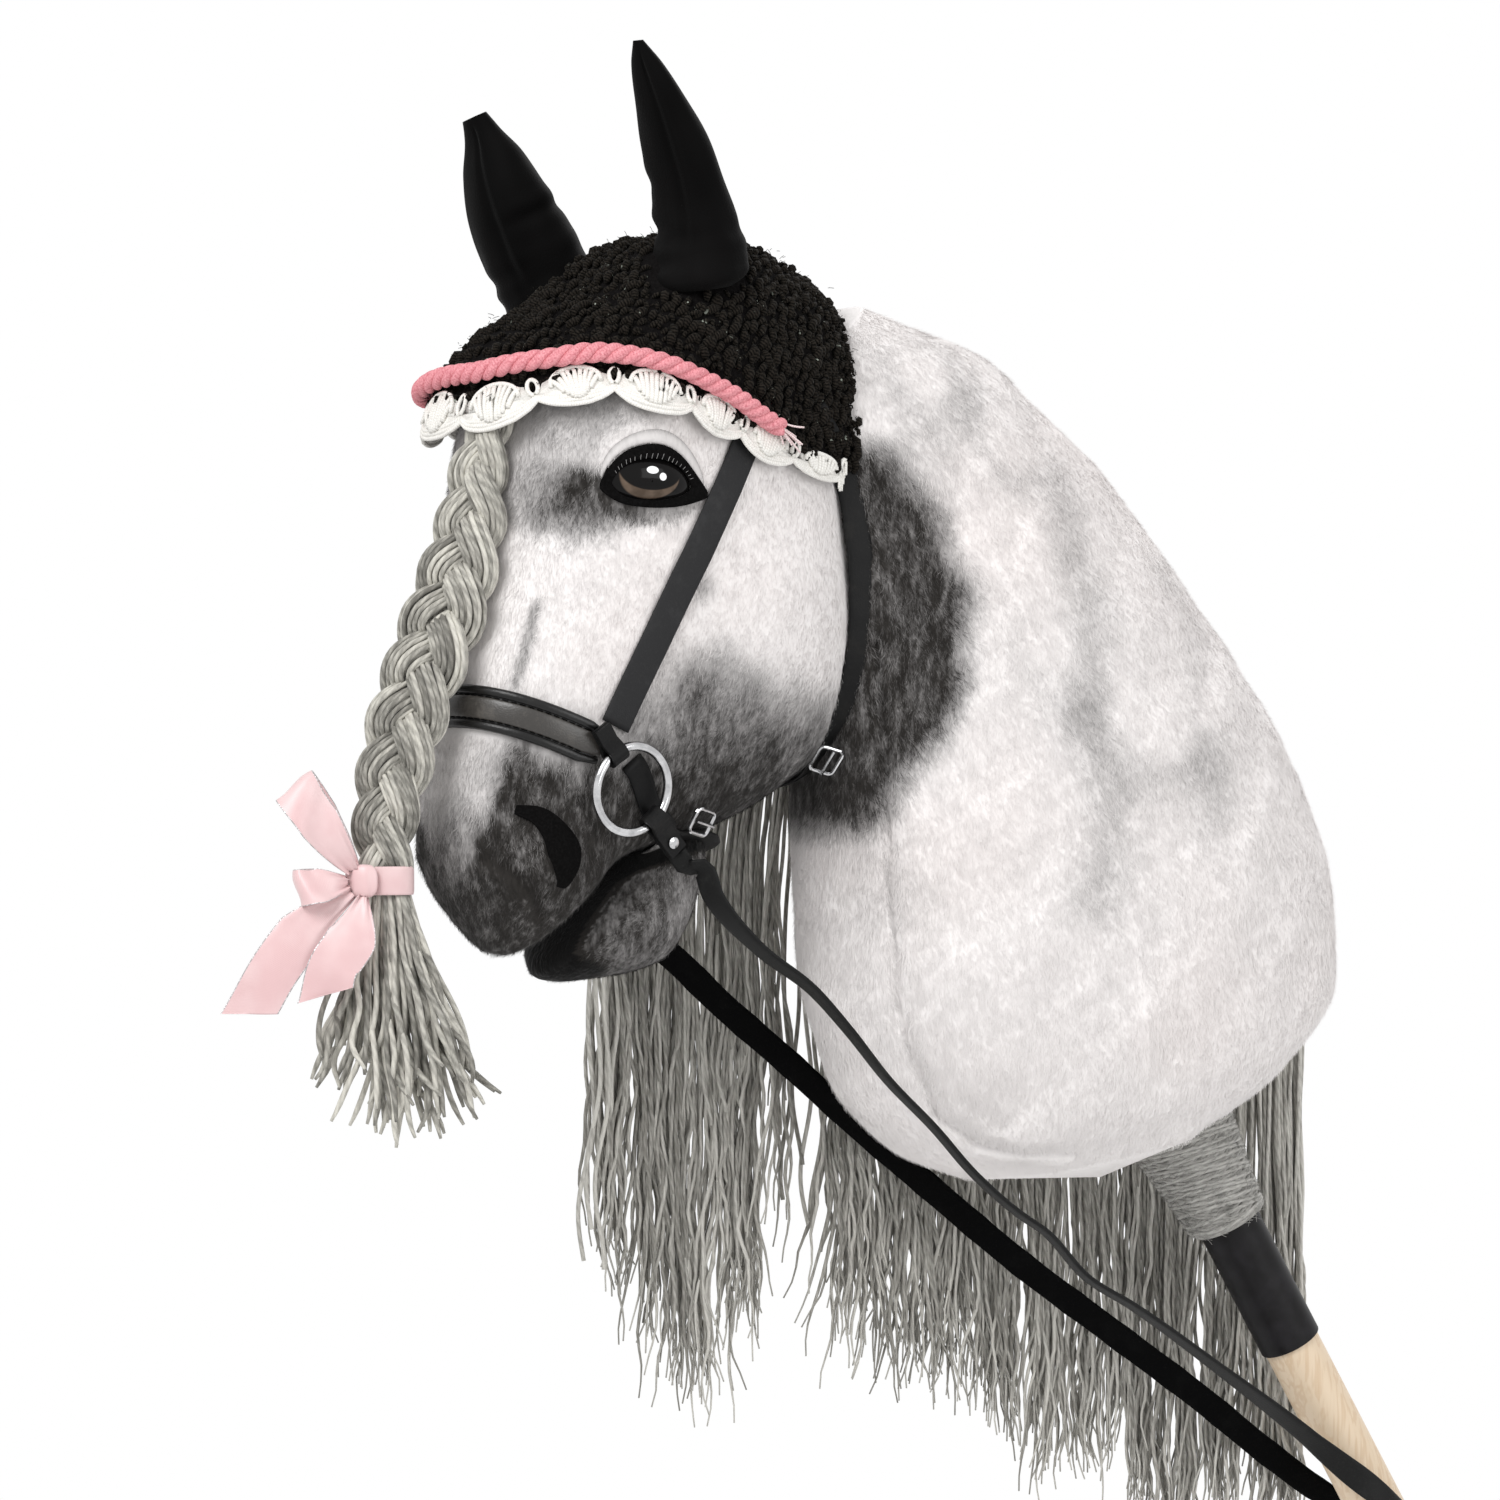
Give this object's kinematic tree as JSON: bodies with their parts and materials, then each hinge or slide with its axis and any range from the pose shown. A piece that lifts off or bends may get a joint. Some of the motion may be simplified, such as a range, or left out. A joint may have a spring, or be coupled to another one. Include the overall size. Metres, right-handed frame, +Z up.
{
  "type": "hobby horse",
  "caption": "Hobby horse with a plush horse head, ear bonnet, bridle with swinging rings and reins, braided forelock with bow, yarn mane and a wooden stick.",
  "frame": {"origin": "on the stick's axis where the rider's hands hold it, just below the plush neck", "axes": "+Z up with the horse held as in the picture, -X towards the nose and +X towards the tail, -Y towards the viewer"},
  "size_m": [0.6946, 0.3415, 0.9958],
  "materials": {
    "white_plush": "short pile, white with pale grey dapples",
    "grey_plush": "short pile, charcoal",
    "black_felt": "matte felt",
    "black_cloth": "smooth stretch cloth",
    "black_crochet": "crochet cotton",
    "white_crochet": "crochet cotton shells",
    "pink_rope": "twisted satin cord",
    "pink_satin": "satin ribbon with silver edges",
    "grey_yarn": "soft spun yarn",
    "black_leather": "stitched and padded",
    "rein_leather": "matte strap",
    "chrome": "polished",
    "glossy_eye": "clear domed",
    "pine": "sanded pale pine",
    "black_sleeve": "matte grip sleeve"
  },
  "bodies": {
    "horse": {"stick": "pine", "stick_sleeve": "black_sleeve", "yarn_winding": "grey_yarn", "neck_cuff": "white_plush", "neck": "white_plush", "head": "white_plush", "lower_jaw": "grey_plush", "near_ear": "white_plush", "off_ear": "white_plush", "near_ear_cover": "black_cloth", "off_ear_cover": "black_cloth", "near_eye": "glossy_eye", "off_eye": "glossy_eye", "near_eye_rim": "black_felt", "off_eye_rim": "black_felt", "near_eyelid": "white_plush", "off_eyelid": "white_plush", "near_nostril": "black_felt", "off_nostril": "black_felt", "near_lip_tab": "grey_plush", "off_lip_tab": "grey_plush", "ear_bonnet": "black_crochet", "bonnet_lace": "white_crochet", "bonnet_rope": "pink_rope", "headpiece": "black_leather", "near_cheek_strap": "black_leather", "off_cheek_strap": "black_leather", "throat_latch": "black_leather", "noseband": "black_leather", "chin_strap": "black_leather", "near_ring_keeper": "black_leather", "off_ring_keeper": "black_leather", "near_rein": "rein_leather", "off_rein": "rein_leather", "throat_buckle_frame": "chrome", "chin_buckle_frame": "chrome", "rein_buckle_frame": "chrome", "forelock_root": "grey_yarn", "mane_poll": "grey_yarn", "mane_throat": "grey_yarn", "mane_crest": "grey_yarn", "mane_middle": "grey_yarn", "mane_withers": "grey_yarn"},
    "near_rein_end": {"near_rein_loop": "rein_leather", "near_rivet": "chrome"},
    "near_bit_ring": {"near_ring": "chrome"},
    "off_rein_end": {"off_rein_loop": "rein_leather", "off_rivet": "chrome"},
    "off_bit_ring": {"off_ring": "chrome"},
    "throat_prong": {"throat_buckle_prong": "chrome"},
    "chin_prong": {"chin_buckle_prong": "chrome"},
    "rein_prong": {"rein_buckle_prong": "chrome"},
    "forelock": {"forelock_braid": "grey_yarn", "forelock_tassel": "grey_yarn", "bow_wrap": "pink_satin", "bow_knot": "pink_satin", "bow_loop_large": "pink_satin", "bow_loop_small": "pink_satin", "bow_tail_long": "pink_satin", "bow_tail_short": "pink_satin"}
  },
  "joints": [
    {"name": "near_ring_swing", "type": "hinge", "parent": "horse", "child": "near_rein_end", "pos_m": [-0.332, -0.21925, 0.32297], "axis": [-0.7056, -0.4336, -0.5604], "range_deg": [0, 30]},
    {"name": "near_ring_spin", "type": "hinge", "parent": "near_rein_end", "child": "near_bit_ring", "pos_m": [-0.32496, -0.21129, 0.30795], "axis": [0.5965, -0.7904, -0.1396], "continuous": true},
    {"name": "off_ring_swing", "type": "hinge", "parent": "horse", "child": "off_rein_end", "pos_m": [-0.40115, -0.13684, 0.32297], "axis": [0.5496, 0.6196, 0.5604], "range_deg": [0, 30]},
    {"name": "off_ring_spin", "type": "hinge", "parent": "off_rein_end", "child": "off_bit_ring", "pos_m": [-0.39209, -0.13129, 0.30795], "axis": [-0.6748, 0.7247, -0.1396], "continuous": true},
    {"name": "throat_prong_hinge", "type": "hinge", "parent": "horse", "child": "throat_prong", "pos_m": [-0.2388, -0.13351, 0.32365], "axis": [-0.8516, -0.4483, 0.2716], "range_deg": [0, 60]},
    {"name": "chin_prong_hinge", "type": "hinge", "parent": "horse", "child": "chin_prong", "pos_m": [-0.29817, -0.18046, 0.29414], "axis": [-0.4365, 0.0728, -0.8967], "range_deg": [0, 60]},
    {"name": "rein_prong_hinge", "type": "hinge", "parent": "horse", "child": "rein_prong", "pos_m": [0.04202, 0.01736, -0.0368], "axis": [-0.2025, 0.002, 0.9793], "range_deg": [0, 60]},
    {"name": "forelock_swing", "type": "hinge", "parent": "horse", "child": "forelock", "pos_m": [-0.39057, -0.20812, 0.45148], "axis": [-0.6428, 0.766, 0], "range_deg": [0, 40]}
  ]
}
